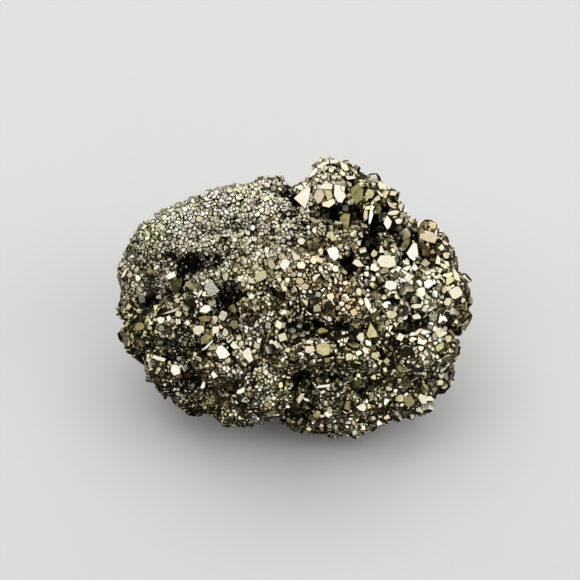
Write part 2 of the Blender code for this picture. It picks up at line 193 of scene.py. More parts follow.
def on_fine_dome(point):
    """The upper left dome, from the front up over its top: 1 well inside it, 0 outside."""
    across = (point[0] + 13 * mm) / (19 * mm)
    along = (point[1] - 6.5 * mm) / (15 * mm)
    rise = (point[2] - 20 * mm) / (6 * mm)
    reach = 1.15 - math.hypot(across, along)
    return max(0.0, min(1.0, 3 * reach)) * max(0.0, min(1.0, rise + 0.5))


def straight_outline(corners, shortest):
    """The convex outline round some corners, without sides shorter than the shortest."""
    outline = [corners[index] for index in convex_hull_2d(corners)]
    while len(outline) > 4:
        sides = [math.dist(outline[step - 1], outline[step]) for step in range(len(outline))]
        short = min(range(len(outline)), key=sides.__getitem__)
        if sides[short] > shortest:
            break
        del outline[short]
    return outline


def cut_away(outline, across, along, reach):
    """The part of a flat outline that lies nearer than reach along a direction."""
    kept = []
    for (x, y), (next_x, next_y) in zip(outline, outline[1:] + outline[:1]):
        here = reach - x * across - y * along
        there = reach - next_x * across - next_y * along
        if here >= 0:
            kept.append((x, y))
        if here * there < 0:
            share = here / (here - there)
            kept.append((x + share * (next_x - x), y + share * (next_y - y)))
    return kept


def area_inside(outline):
    return 0.5 * sum(a[0] * b[1] - a[1] * b[0] for a, b in zip(outline, outline[1:] + outline[:1]))


def shrunk(outline, border):
    """The outline moved inwards by a border on every side."""
    count = len(outline)
    moved = []
    for step, corner in enumerate(outline):
        before = Vector(corner) - Vector(outline[step - 1])
        after = Vector(outline[(step + 1) % count]) - Vector(corner)
        before.normalize()
        after.normalize()
        half_turn = max(0.3, math.cos(0.5 * before.angle(after)))
        inwards = Vector((-before.y - after.y, before.x + after.x)).normalized()
        moved.append(tuple(Vector(corner) + inwards * border / half_turn))
    return moved


def stacked_rings(rings):
    """A closed solid through rings of equal count, from (outline, height) pairs: its corners and faces."""
    count = len(rings[0][0])
    points = [(x, y, height) for outline, height in rings for x, y in outline]
    faces = [tuple(reversed(range(count)))]
    for ring in range(len(rings) - 1):
        for step in range(count):
            after = (step + 1) % count
            low, high = ring * count, (ring + 1) * count
            faces.append((low + step, low + after, high + after, high + step))
    top = (len(rings) - 1) * count
    faces.append(tuple(range(top, top + count)))
    return points, faces


def mesh_piece(name, parts):
    """One mesh from (corners, faces, tone, painted shade, tarnish) of each part, the last three as
    attributes.
    """
    points, faces, tones, painted_shades, tints = [], [], [], [], []
    for corners, sides, tone, dark, tint in parts:
        first = len(points)
        points.extend(corners)
        faces.extend(tuple(corner + first for corner in side) for side in sides)
        tones.extend([tone] * len(corners))
        tints.extend([tint] * len(corners))
        painted_shades.extend(dark)
    mesh = bpy.data.meshes.new(name)
    mesh.from_pydata(points, [], faces)
    for label, values in (("tone", tones), ("depth", painted_shades), ("tarnish", tints)):
        layer = mesh.attributes.new(label, "FLOAT", "POINT")
        layer.data.foreach_set("value", values)
    piece = bpy.data.objects.new(name, mesh)
    bpy.context.collection.objects.link(piece)
    return piece


def met_others(outline, width, chance):
    """The outline with a corner or two cut off, where the crystal met another that has since broken away."""
    for _ in range(chance.integers(2, 5)):
        turn = chance.uniform(0, math.tau)
        reach = chance.uniform(0.34, 0.54) * width
        cut = cut_away(outline, math.cos(turn), math.sin(turn), reach)
        outline = cut if len(cut) > 3 else outline
    return straight_outline(outline, 0.14 * width)


def add_crystal(outline, middle, axes, root, rise, tone, darks):
    """Adds a bevelled crystal with its flat face up, unless it would reach below the underside.

    The root is how much wider the crystal is at its foot, and how high the foot is. The darks are the painted
    shade of its three rings, from the foot up, so that its sides are painted darker towards the foot.
    """
    spread, foot = root
    rings = [
        (shrunk(outline, -spread), foot),
        (outline, rise - crystal_bevel),
        (shrunk(outline, crystal_bevel), rise),
    ]
    corners, sides = stacked_rings(rings)
    placed = np.array(corners) @ axes.T + np.array(middle)
    if placed[:, 2].min() < lowest:
        return False
    dark = [value for value in darks for _ in outline]
    large_crystals.append((placed.tolist(), sides, tone, dark, untarnished))
    large_faces.append((np.array(middle), axes, outline))
    return True


def add_plate(flat, rise, tone, trimmed, chance):
    """Puts a bevelled plate on a crystal face, with the face's outline, and says whether it had room."""
    area = total_area(flat)
    middle = centre_table[[face.index for face in flat]].mean(axis=0)
    axes = np.array(flat[0].normal.to_track_quat("Z", "Y").to_matrix())
    rim = {corner.index: corner for face in flat for corner in face.verts}
    corners = [tuple((np.array(corner.co) - middle) @ axes[:, :2]) for corner in rim.values()]
    outline = straight_outline(corners, 0.16 * math.sqrt(area))
    if area_inside(outline) > 1.6 * area or area_inside(outline) < 0.5 * area:
        return False
    if trimmed:
        outline = met_others(outline, math.sqrt(area), chance)
    # painted shade on the plate's rings, darkest at the foot
    return add_crystal(outline, middle, axes, (0.02 * mm, -crystal_root), rise, tone, (0.8, 0.45, 0.0))


def side_faces(flat):
    """The crystal faces that fall away from the edges of this one."""
    own = {face.index for face in flat}
    middle = centre_table[list(own)].mean(axis=0)
    found = {}
    for face in flat:
        for edge in face.edges:
            for other in edge.link_faces:
                region = region_of[other.index]
                falls = np.dot(centre_table[other.index] - middle, flat[0].normal) < -0.1 * mm
                if other.index not in own and falls and other.normal.dot(flat[0].normal) < 0.6:
                    found[region[0].index] = region
    return list(found.values())


# The largest faces of the show face, named by where they are. Each has its finish, and then how far to the
# right and up each corner is in turn, in mm from the zero point, as the eye sees them from in front.
show_faces = {
    "knob face, left": ("tan", 3.4, 17.2, 4.0, 18.5, 5.1, 18.6, 5.5, 17.5, 4.9, 16.2, 4.2, 15.8),
    "knob face, top": ("cream", 4.0, 18.5, 5.4, 19.6, 6.9, 19.4, 6.6, 18.3, 5.1, 18.6),
    "knob face, middle": ("yellow", 5.1, 18.6, 6.6, 18.3, 6.9, 17.0, 5.9, 16.3, 5.5, 17.5),
    "knob face, foot": ("tan", 4.9, 16.2, 5.9, 16.3, 6.9, 17.0, 7.6, 16.2, 6.2, 15.2, 5.0, 15.5),
    "knob face, right": ("white", 7.0, 19.4, 8.2, 19.2, 9.2, 17.3, 8.4, 16.0, 7.6, 16.2, 6.9, 17.4),
    "knob cap, end": ("white", 2.5, 20.4, 3.0, 21.4, 3.9, 22.3, 4.5, 21.9, 3.8, 21.0, 3.0, 20.4),
    "knob cap, left": ("white", 3.9, 22.3, 5.0, 23.2, 6.2, 23.6, 6.3, 22.9, 5.2, 22.3, 4.5, 21.9),
    "knob cap, top": ("cream", 6.3, 23.6, 7.8, 23.5, 7.9, 22.7, 6.4, 22.8),
    "knob cap, front": ("yellow", 4.6, 21.6, 5.3, 22.1, 6.0, 21.9, 5.4, 21.3),
    "knob cap, front step": ("cream", 6.3, 22.5, 7.3, 22.4, 7.6, 21.8, 6.6, 21.9),
    "knob cap, right": ("cream", 8.0, 23.3, 9.3, 22.7, 9.8, 21.8, 9.0, 21.4, 8.3, 22.0),
    "knob cap, far end": ("tan", 9.5, 22.5, 10.8, 21.4, 11.8, 20.3, 10.8, 20.9, 10.0, 21.6),
    "knob brow, left": ("yellow", 4.9, 20.9, 6.2, 20.9, 6.4, 20.2, 5.4, 20.0),
    "knob brow, middle": ("tan", 6.4, 20.9, 8.2, 20.9, 8.3, 20.2, 6.6, 20.1),
    "knob brow, right": ("cream", 8.8, 20.8, 10.7, 20.8, 10.8, 20.2, 9.3, 20.0),
    "saddle plate": (
        "cream", 0.0, 16.9, 1.2, 18.0, 2.6, 19.3, 3.1, 18.6, 2.9, 17.0, 2.1, 15.0, 1.0, 16.2,
    ),
    "knob foot": ("olive", 9.8, 18.6, 11.2, 19.5, 12.1, 18.4, 11.9, 16.6, 10.6, 15.6, 10.0, 16.8),
    "shoulder disc": ("yellow", 12.2, 17.6, 12.8, 18.6, 13.6, 18.4, 14.0, 17.7, 13.6, 16.9, 12.7, 16.7),
    "shoulder stub": ("tan", 14.1, 17.2, 14.8, 17.6, 15.0, 16.6, 14.2, 16.3, 13.5, 16.5),
    "blade, olive": ("olive", 7.9, 13.6, 8.6, 14.4, 9.8, 14.3, 9.6, 12.4, 9.4, 11.3, 8.4, 11.8),
    "blade, tan": ("tan", 12.2, 15.0, 12.9, 14.8, 12.8, 13.4, 12.4, 12.9, 12.0, 13.6),
    "blade, white": ("white", 13.3, 15.9, 14.1, 15.6, 13.8, 14.0, 13.4, 12.6, 12.9, 12.3, 13.0, 14.0),
    "blade, far": ("olive", 14.2, 15.4, 14.8, 16.1, 15.3, 15.2, 15.0, 14.3, 14.3, 14.1),
    "blade, broad": ("white", 15.4, 12.6, 15.7, 13.5, 16.1, 14.2, 17.0, 13.0, 16.6, 11.9, 16.1, 11.4),
    "ledge plate": ("cream", 15.9, 14.2, 16.6, 14.8, 17.6, 15.0, 18.4, 14.6, 17.8, 14.0, 16.7, 13.9),
    "ledge foot": ("cream", 17.3, 13.3, 18.2, 13.6, 19.0, 13.4, 18.5, 12.5, 17.7, 12.4),
    "ridge plate, high": ("cream", 14.2, 18.5, 15.0, 18.0, 15.7, 17.3, 15.3, 17.0, 14.5, 17.7),
    "ridge plate, low": ("tan", 15.8, 17.0, 16.6, 16.4, 18.0, 15.1, 17.1, 15.1, 16.4, 15.5),
    "rim plate": (
        "tan", 21.5, 10.1, 21.8, 11.2, 22.6, 11.5, 24.0, 11.1, 24.9, 10.2, 24.3, 9.1, 22.9, 9.4,
    ),
    "rim step": ("cream", 24.7, 8.4, 25.5, 9.3, 26.1, 8.3, 25.4, 7.8),
    "rim foot": ("tan", 25.5, 7.5, 26.2, 7.8, 26.9, 6.8, 26.4, 6.5, 25.8, 6.6),
    "rim, far right": ("tan", 27.3, 5.2, 27.9, 4.7, 28.5, 3.6, 28.8, 2.6, 28.0, 2.3, 27.5, 3.4),
    "shoulder white": (
        "white", 19.3, 7.5, 20.1, 8.7, 20.6, 9.5, 21.3, 9.2, 21.6, 7.2, 20.8, 6.0, 19.9, 6.6,
    ),
    "shoulder side": ("olive", 18.4, 9.0, 19.0, 9.8, 20.2, 10.1, 20.0, 9.0, 19.2, 7.9, 18.6, 7.7),
    "shoulder cream": (
        "cream", 14.2, 6.1, 14.9, 7.2, 16.6, 7.3, 17.5, 6.4, 17.7, 5.4, 16.4, 4.9, 15.0, 5.1,
    ),
    "shoulder wedge": ("cream", 14.6, 7.5, 14.9, 8.9, 15.3, 8.8, 15.8, 7.5),
    "shoulder dark": ("brown", 21.9, 9.1, 22.8, 9.2, 23.6, 7.6, 23.3, 6.8, 22.1, 7.0),
    "lozenge": ("tan", 22.6, 6.6, 23.6, 5.8, 22.8, 5.0, 21.7, 5.7),
    "right chip": ("cream", 24.7, 7.4, 25.4, 6.6, 25.2, 5.4, 24.3, 5.7),
    "right wedge": ("white", 20.8, 5.9, 21.6, 4.9, 20.9, 4.3, 20.1, 4.9),
    "right round": ("tan", 18.9, 6.0, 19.4, 6.8, 20.0, 6.3, 20.0, 5.5, 19.4, 5.2),
    "right sliver": ("cream", 22.8, 4.6, 23.9, 4.9, 24.9, 4.4, 23.9, 4.1),
    "right splinter": ("cream", 23.8, 3.7, 24.9, 3.7, 25.4, 3.2, 24.4, 3.0),
    "centre white": ("white", 5.7, 8.2, 6.3, 8.5, 7.5, 8.7, 7.9, 7.9, 7.9, 6.7, 7.2, 6.1, 6.4, 6.3),
    "centre drop": ("tan", 4.1, 8.0, 4.7, 8.6, 5.3, 8.2, 5.2, 7.3, 4.7, 6.9),
    "centre dot": ("white", 8.7, 8.4, 9.1, 8.9, 9.6, 8.5, 9.2, 8.0),
    "cheek band": ("cream", 10.0, 5.8, 10.6, 6.6, 11.4, 6.4, 12.4, 5.2, 11.0, 5.1),
    "cheek tooth": ("white", 7.0, 3.3, 7.4, 3.6, 7.7, 2.6, 7.3, 2.0, 7.0, 2.4),
    "cheek blaze": ("white", 15.5, 1.7, 15.9, 2.8, 17.0, 2.9, 17.9, 2.4, 17.6, 1.3, 16.6, 1.0),
    "cheek drop": ("cream", 17.0, 0.8, 17.7, 1.2, 18.4, 0.4, 18.4, -0.4, 17.6, -0.4),
    "cheek cell": ("white", 15.1, -1.3, 15.7, -0.7, 16.5, -0.6, 16.9, -1.1, 16.4, -1.9, 15.6, -2.0),
    "cheek cell, high": ("tan", 14.9, -0.3, 15.3, 0.4, 16.1, 0.6, 16.2, -0.2, 15.6, -0.6),
    "cheek cell, low": ("tan", 15.8, -2.7, 16.5, -2.2, 17.6, -2.4, 18.0, -3.0, 17.2, -3.8, 16.2, -3.7),
    "long lozenge": ("white", 12.1, -0.3, 12.5, 0.1, 13.0, -0.4, 13.5, -1.6, 13.1, -2.5, 12.3, -1.4),
    "yellow wedge": ("yellow", 12.5, -6.4, 12.9, -5.2, 13.3, -4.2, 14.4, -5.9, 14.6, -6.9, 12.9, -7.1),
    "yellow foot": ("cream", 10.7, -6.8, 11.4, -6.0, 12.0, -6.0, 12.3, -7.0, 12.0, -7.8, 11.2, -7.5),
    "sill plate": ("brown", 6.6, -7.2, 7.6, -6.4, 9.5, -6.2, 9.2, -6.9, 7.4, -7.6),
    "dark wedge": ("brown", 12.9, -3.9, 13.3, -2.8, 14.4, -2.4, 14.5, -3.4, 13.8, -4.0),
    "middle white": ("white", -2.4, 5.4, -1.9, 6.5, -1.2, 6.6, -0.4, 6.0, -0.7, 5.1, -1.7, 4.5),
    "middle tan": ("tan", -2.3, 2.4, -1.8, 2.5, -0.9, 1.6, -1.0, 0.9, -1.8, 0.9),
    "middle cream": ("cream", -2.4, -2.8, -1.6, -2.1, -0.9, -2.2, -1.0, -2.9, -1.9, -3.2),
    "middle chip": ("cream", -0.8, -0.8, -0.3, -0.4, 0.0, -1.1, -0.5, -1.6),
    "cobble": ("cream", -7.8, 0.3, -7.2, 0.8, -6.5, 0.3, -6.7, -0.4, -7.5, -0.5),
    "pocket white": ("white", -21.9, 3.1, -21.6, 4.0, -20.9, 4.0, -20.2, 4.5, -19.9, 3.5, -21.2, 2.9),
    "pocket olive": ("olive", -21.1, 2.7, -20.0, 3.1, -18.9, 2.9, -19.0, 1.6, -19.8, 0.6, -20.9, 1.0),
    "pocket tan": ("tan", -18.9, 1.7, -18.3, 2.4, -18.2, 1.3, -18.7, 1.0),
    "pocket chip": ("cream", -16.4, 0.1, -16.2, 1.0, -15.4, 1.5, -15.4, 0.8, -16.0, 0.0),
    "left white": ("white", -16.1, -2.6, -15.9, -1.9, -15.0, -1.1, -14.2, -1.4, -13.9, -2.2, -14.8, -2.9),
    "left olive": ("olive", -16.5, -3.4, -15.2, -3.1, -13.8, -3.1, -14.2, -4.2, -15.7, -4.4),
    "left tan": ("tan", -17.3, -5.6, -16.8, -4.8, -15.2, -4.8, -15.1, -5.8, -16.2, -6.7, -17.0, -6.3),
    "left dark": ("olive", -15.9, -6.9, -14.9, -6.1, -13.9, -6.6, -14.4, -7.8, -15.8, -8.3),
    "left beam": ("tan", -22.6, -3.0, -20.4, -1.9, -19.2, -1.6, -19.2, -2.3, -21.4, -2.9),
    "left crescent": (
        "white", -16.0, -9.3, -14.8, -8.4, -13.7, -7.1, -13.6, -7.6, -14.6, -8.8, -15.3, -9.2,
    ),
    "left cluster": ("cream", -23.6, -3.7, -22.6, -3.3, -21.8, -3.5, -22.0, -4.4, -22.9, -4.8),
    "left cluster, right": ("white", -21.8, -3.3, -21.0, -3.0, -20.8, -3.7, -21.5, -4.4),
    "left brow": ("olive", -25.4, 4.4, -24.4, 4.9, -23.2, 4.6, -23.6, 3.9, -24.8, 4.0),
    "left rim, high": ("cream", -29.6, 3.0, -29.3, 4.0, -28.7, 4.9, -28.3, 4.6, -28.8, 3.5),
    "left rim, middle": ("yellow", -28.7, -1.7, -28.2, -0.9, -27.5, -1.6, -28.2, -2.4),
    "left rim, golden": (
        "olive", -27.2, -5.0, -26.6, -4.2, -25.6, -4.4, -25.3, -5.2, -26.0, -5.8, -26.9, -5.8,
    ),
    "left rim, yellow": ("yellow", -25.7, -5.9, -24.8, -5.2, -24.4, -5.8, -24.9, -6.9, -25.9, -6.8),
    "left rim, low": ("olive", -26.8, -7.6, -26.2, -7.0, -25.4, -7.4, -25.1, -8.4, -26.0, -8.8),
    "foot beam": (
        "cream", -24.3, -10.4, -23.8, -9.8, -22.6, -10.3, -21.6, -10.5, -22.0, -11.2, -23.3, -10.9,
    ),
    "great white": (
        "white", -13.3, -9.4, -13.0, -8.4, -12.2, -8.1, -11.4, -8.8, -10.6, -9.9, -11.6, -10.6, -12.6, -10.7,
    ),
    "great white, side": ("white", -11.6, -7.6, -10.8, -6.9, -10.1, -6.4, -10.2, -7.2, -11.0, -8.0),
    "great white, foot": ("cream", -10.9, -8.3, -10.2, -7.3, -9.5, -8.0, -9.6, -9.0, -10.2, -9.0),
    "twin white": (
        "cream", -8.8, -9.4, -8.2, -8.9, -7.4, -8.5, -7.1, -10.2, -6.7, -10.9, -7.5, -11.4, -8.6, -10.2,
    ),
    "under the twins": ("olive", -11.4, -11.4, -10.6, -10.7, -9.9, -10.8, -10.2, -11.4, -10.9, -11.7),
    "low white": (
        "white", -21.0, -12.8, -20.8, -11.5, -19.8, -11.5, -19.2, -12.3, -19.2, -13.2, -20.4, -13.6,
    ),
    "low white, twin": ("white", -19.1, -12.0, -18.3, -11.3, -17.7, -12.2, -18.6, -12.9),
    "low white, side": ("brown", -18.9, -13.2, -17.9, -12.6, -17.0, -13.2, -17.6, -14.0, -18.6, -14.0),
    "low spark": ("white", -14.1, -13.2, -13.6, -12.5, -12.7, -13.6, -13.6, -14.1),
    "low chip": ("white", -16.0, -15.5, -15.5, -14.4, -14.9, -14.2, -15.0, -15.5, -15.6, -15.9),
    "foot white": ("white", -9.8, -16.6, -9.6, -15.9, -8.8, -15.6, -8.1, -15.2, -8.2, -16.3, -9.0, -16.7),
    "foot chip": ("cream", -9.9, -17.4, -9.2, -18.2, -9.7, -18.5, -10.0, -18.0),
    "olive square": (
        "yellow", 3.9, -8.3, 4.6, -7.8, 6.2, -7.9, 6.5, -8.8, 6.3, -9.9, 5.2, -10.2, 4.0, -9.6,
    ),
    "olive square, side": ("tan", 2.0, -8.8, 2.2, -8.3, 3.6, -8.3, 3.8, -9.3, 3.0, -9.8, 2.1, -9.6),
    "olive square, top": ("cream", 2.1, -7.6, 2.8, -7.2, 3.8, -7.6, 3.2, -8.1, 2.3, -8.1),
    "square's chip": ("white", 0.7, -9.6, 1.4, -9.3, 2.1, -9.8, 1.8, -10.2, 1.0, -9.9),
    "square's root": ("olive", 5.2, -10.4, 6.4, -10.2, 6.4, -11.2, 5.4, -11.4),
    "low beam": ("white", 3.5, -15.4, 4.6, -15.0, 6.4, -14.8, 6.3, -15.5, 4.4, -15.7),
    "beam's tooth": ("white", 3.4, -15.9, 4.2, -15.8, 4.1, -16.8, 3.4, -16.6),
    "beam's twin": ("cream", 4.5, -15.9, 5.8, -15.8, 5.4, -16.6, 4.6, -16.7),
    "tan blade": ("tan", 0.4, -17.6, 1.2, -16.4, 2.2, -16.4, 1.6, -17.6, 1.0, -18.5),
    "tan blade, twin": ("olive", 1.6, -18.3, 2.3, -18.2, 3.2, -19.2, 2.4, -19.4, 1.8, -19.0),
    "foot round": ("white", 5.1, -20.0, 5.9, -19.3, 6.6, -19.6, 6.9, -20.2, 6.0, -20.8),
    "foot round, twin": ("olive", 3.2, -20.3, 3.9, -19.4, 4.8, -19.9, 4.6, -20.8, 3.8, -20.9),
    "foot right": ("cream", 10.6, -18.8, 11.4, -18.4, 12.2, -18.0, 12.7, -18.9, 12.3, -19.7, 11.4, -19.5),
    "foot olive": ("olive", 10.2, -15.0, 10.8, -14.1, 12.0, -14.0, 11.8, -15.0, 11.0, -15.6),
    "foot lozenge": ("tan", 15.4, -20.9, 15.6, -20.3, 16.4, -20.0, 16.8, -20.8, 15.9, -21.1),
    "low right olive": ("olive", 17.6, -11.7, 18.4, -11.4, 19.1, -12.2, 18.6, -13.1, 17.9, -12.7),
    "low right cream": ("cream", 11.8, -9.0, 12.2, -8.3, 13.0, -8.9, 13.0, -9.8, 12.3, -9.8),
    "low right splinter": ("white", 14.7, -11.9, 15.2, -11.0, 15.3, -11.8, 14.9, -12.6),
    "right cobble": ("tan", 25.7, -0.9, 26.2, -0.1, 27.0, 0.0, 27.2, -0.9, 26.8, -1.6, 26.0, -1.5),
    "right cobble, high": ("tan", 25.8, 1.9, 26.2, 2.4, 27.0, 1.9, 27.2, 1.2, 26.4, 0.9),
    "right grey": ("tan", 19.2, 2.0, 19.8, 2.8, 20.4, 2.2, 20.0, 1.3, 19.4, 1.4),
    "cracked plate, top": ("cream", 19.9, -1.5, 20.8, -1.1, 22.4, -1.1, 22.0, -1.9, 20.8, -2.1),
    "cracked plate, right": ("tan", 22.4, -1.3, 23.2, -1.7, 22.8, -2.7, 21.9, -2.4),
    "cracked plate, low": ("cream", 20.2, -3.2, 21.4, -2.6, 22.4, -3.0, 21.8, -3.8, 20.6, -3.9),
    "cheek cell, right": ("tan", 18.2, -0.6, 19.0, 0.2, 19.6, -0.6, 19.0, -1.6, 18.3, -1.5),
    "cracked plate, left": ("cream", 18.5, -3.2, 19.2, -2.6, 19.8, -2.9, 19.6, -3.9, 18.7, -4.0),
    "right chip, low": ("tan", 20.5, -6.3, 21.4, -5.4, 22.3, -5.2, 22.0, -6.0, 21.0, -6.8),
    "right edge, olive": ("olive", 28.5, -1.4, 29.0, -0.8, 29.6, -1.4, 29.4, -2.3, 28.7, -2.2),
    "right edge, yellow": ("yellow", 25.9, -7.2, 26.2, -6.5, 27.3, -6.6, 27.1, -7.7, 26.4, -7.9),
}

# How each finish looks: its tone, and how far its face is turned from the eye towards the light. The tone is
# its own tarnish colour and partly painted light: a painted highlight on white faces, painted shade on brown.
finishes = {
    "white": (0.95, 1.0),
    "cream": (0.78, 0.9),
    "tan": (0.58, 0.8),
    "yellow": (0.42, 0.8),
    "olive": (0.24, 0.4),
    "brown": (0.04, 0.1),
}
to_right = Vector((1, 0, 0))
up_the_slope = Vector((0, 1, 1)).normalized()
outwards = Vector((0, -1, 1)).normalized()
stone_middle = Vector((-0.39, 1.42, 17.5)) * mm
zero_point = stone_middle + (0.34 * to_right - 0.86 * up_the_slope) * mm
eye = stone_middle + (-0.17 * to_right + 0.34 * up_the_slope + 331 * outwards) * mm
lit_ways = [Vector((-0.18, -0.55, 0.82)), Vector((0.29, -0.58, 0.76))]
plate_rise = 0.18 * mm
highest_plate = 0.7 * mm  # above the middle of the stone under it
lowest_foot = -2 * mm


def way_seen(right, up):
    """The way from the eye to a place of the show face."""
    return (zero_point + (right * to_right + up * up_the_slope) * mm - eye).normalized()


def add_show_face(finish, seen, chance):
    """Puts a plate on the show face where the eye sees its corners, if the stone is there."""
    tone, turned = finishes[finish]
    total = sum((Vector(corner) for corner in seen), Vector((0, 0)))
    inner = [Vector(corner) * 0.8 + total * 0.2 / len(seen) for corner in seen]
    hits = [skin_surface.ray_cast(eye, way_seen(*corner)) for corner in inner]
    hits = [(hit[0], hit[1]) for hit in hits if hit[0] is not None]
    if len(hits) < 0.5 * len(seen):
        return
    middle = sum((spot for spot, _ in hits), Vector()) / len(hits)
    around = sum((normal for _, normal in hits), Vector()).normalized()
    lit = max(lit_ways, key=around.dot)
    normal = outwards.lerp(lit, turned) + Vector(chance.normal(0, 0.04, 3))
    if around.dot(outwards) < 0.6:
        normal = normal + 0.5 * around
    normal.normalize()
    heights = sorted((spot - middle).dot(normal) for spot, _ in hits)
    high = min(heights[(3 * len(heights)) // 4], highest_plate)
    low = max(heights[0], lowest_foot)
    middle += normal * high
    axes = np.array(normal.to_track_quat("Z", "Y").to_matrix())
    corners = []
    for corner in seen:
        way = way_seen(*corner)
        reach = (middle + normal * plate_rise - eye).dot(normal) / way.dot(normal)
        corners.append(tuple(np.array(eye + way * reach - middle) @ axes[:, :2]))
    outline = shrunk(straight_outline(corners, 0.1 * mm), 0.04 * mm)
    root = (0.1 * mm, low - high - crystal_root)
    # painted shade on the plate's rings, darkest at the foot
    add_crystal(outline, middle, axes, root, plate_rise, tone, (0.9, 0.5, 0.0))


chance = np.random.default_rng(3)
large_faces = []  # each large face's middle, axes and outline, which the grains keep clear of
large_crystals = []
for finish, *flat in show_faces.values():
    add_show_face(finish, list(zip(flat[0::2], flat[1::2])), chance)


def is_on_knob(point):
    """Whether a spot is on the knob, whose cap is fine-grained all round."""
    offset = Vector(point) - stone_middle
    return (offset - (6.5 * to_right + 19 * up_the_slope) * mm).length < 8 * mm


def is_seen(point, normal):
    """Whether the eye in front of the show face sees a spot of the skin."""
    spot = Vector(point)
    way = (eye - spot).normalized()
    return way.dot(normal) > 0.2 and skin_surface.ray_cast(spot + normal * 0.1 * mm, way)[0] is None


regions = flat_regions()
region_of = {face.index: flat for flat in regions for face in flat}
for flat in regions:
    luck = chance.random()
    if len(flat) < 2 or total_area(flat) < smallest_top or is_underside(flat[0]):
        continue
    if on_fine_dome(centre_table[flat[0].index]) > 0.3 or not looks_outwards(flat):
        continue
    if is_seen(centre_table[flat[0].index], flat[0].normal) or is_on_knob(centre_table[flat[0].index]):
        continue
    sides = [side for side in side_faces(flat) if total_area(side) > smallest_side]
    if sum(total_area(side) for side in sides) < proud * total_area(flat) and luck < covered_share:
        continue
    if add_plate(flat, chance.uniform(*top_rise), chance.uniform(0.3, 1), True, chance):
        for side in sides:
            if is_seen(centre_table[side[0].index], side[0].normal):
                continue
            # painted shade on the side faces: a dark, olive tone
            add_plate(side, 0, chance.uniform(0.1, 0.35), False, chance)


def add_attribute(nodes, name):
    made = nodes.new("ShaderNodeAttribute")
    made.attribute_name = name
    return made.outputs["Fac"]


def finish_crystal(nodes, links, place, colour, wear_size, detail, roughness, bump):
    """Metal of one colour with painted shade from the depth attribute down in the gaps, and a worn and
    rippled shine.
    """
    surface = nodes["Principled BSDF"]
    shade = nodes.new("ShaderNodeMix")
    shade.data_type = "RGBA"
    # the near-black of the painted shade
    shade.inputs["B"].default_value = (0.012, 0.008, 0.004, 1)
    links.new(add_attribute(nodes, "depth"), shade.inputs["Factor"])
    links.new(colour, shade.inputs["A"])
    links.new(shade.outputs["Result"], surface.inputs["Base Color"])
    surface.inputs["Metallic"].default_value = 1.0
    wear = add_noise(nodes, links, place, wear_size, detail)
    links.new(add_range(nodes, links, wear.outputs["Fac"], *roughness), surface.inputs["Roughness"])
    add_bump(nodes, links, surface, wear.outputs["Fac"], bump)


def large_crystal_face():
    """A clean pyrite face: pale brass, tarnished golden here and there, with painted shade along its sides.
    """
    material, nodes, links = new_material("large_crystal_face")
    place = nodes.new("ShaderNodeTexCoord")
    tarnish = add_noise(nodes, links, place, 1.2 * mm, 5)
    mixed = nodes.new("ShaderNodeMath")
    mixed.operation = "ADD"
    links.new(add_attribute(nodes, "tone"), mixed.inputs[0])
    links.new(add_range(nodes, links, tarnish.outputs["Fac"], -0.25, 0.25), mixed.inputs[1])
    brasses = [
        (0.0, (0.07, 0.045, 0.02)),
        (0.2, (0.19, 0.16, 0.065)),
        (0.4, (0.45, 0.395, 0.21)),
        (0.55, (0.58, 0.49, 0.35)),
        (0.75, (0.68, 0.63, 0.47)),
        (0.95, (0.73, 0.70, 0.61)),
    ]
    brass = add_ramp(nodes, links, mixed.outputs["Value"], brasses)
    finish_crystal(nodes, links, place, brass.outputs["Color"], 0.5 * mm, 4, (0.12, 0.34), 0.03 * mm)
    return material


large_piece = mesh_piece("large_crystals", large_crystals)
large_piece.data.materials.append(large_crystal_face())
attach(large_piece, "root")


# The grains are small pyrite crystals that grew side by side over the whole skin until they met, so each has
# straight sides against its neighbours and a face, a ridge or a corner outwards. They are finest on the upper
# left dome and coarsest on the right. The larger ones grew freely, as cubes, pyritohedra and cut cubes.

seed = 7

# Width of a grain in mm, and how many are tried on a square centimetre of the finest and the coarsest crust.
grain_sizes = (
    (2.2, 0, 10),
    (1.7, 0.3, 50),
    (1.3, 1, 160),
    (1.0, 25, 500),
    (0.8, 200, 900),
    (0.62, 900, 500),
    (0.5, 1800, 100),
    (0.42, 1800, 0),
)
freely_grown = 1.05 * mm  # of the grains wider than this, the share below grew freely
free_share = 0.25
least_gap = 0.04 * mm
clear_of_large = 0.28  # of a grain's width
clump_sizes = (1.7 * mm, 2.8 * mm)  # on the dome and elsewhere
clump_height = 0.45 * mm
# Painted shade: a grain is darkened near its clump's edge and where the stone hides more of its sky than
# open_share, up to darkest.
clump_edge = 0.4  # nearer to a clump's edge than this, a grain darkens
open_share = 0.28  # a grain darkens where more of its sky than this is hidden
darkest = 0.93

corner_table = np.array([[corner.co for corner in face.verts] for face in skin.faces])
crease_table = np.array([[corner.normal for corner in face.verts] for face in skin.faces])
open_skin = np.array([not is_underside(face) for face in skin.faces])


def spots_on_skin(count, chance):
    """Places spread at random over the skin above the underside, each with the way the skin looks there."""
    odds = area_table * open_skin
    chosen = chance.choice(len(odds), size=count, p=odds / odds.sum())
    a, b = chance.random((2, count, 1))
    fold = (a + b) > 1
    a, b = np.where(fold, 1 - a, a), np.where(fold, 1 - b, b)
    first, second, third = corner_table[chosen].transpose(1, 0, 2)
    spots = first + a * (second - first) + b * (third - first)
    first, second, third = crease_table[chosen].transpose(1, 0, 2)
    rounded = first + a * (second - first) + b * (third - first)
    normals = 0.4 * normal_table[chosen] + 0.6 * rounded
    return spots, normals / np.linalg.norm(normals, axis=1, keepdims=True)


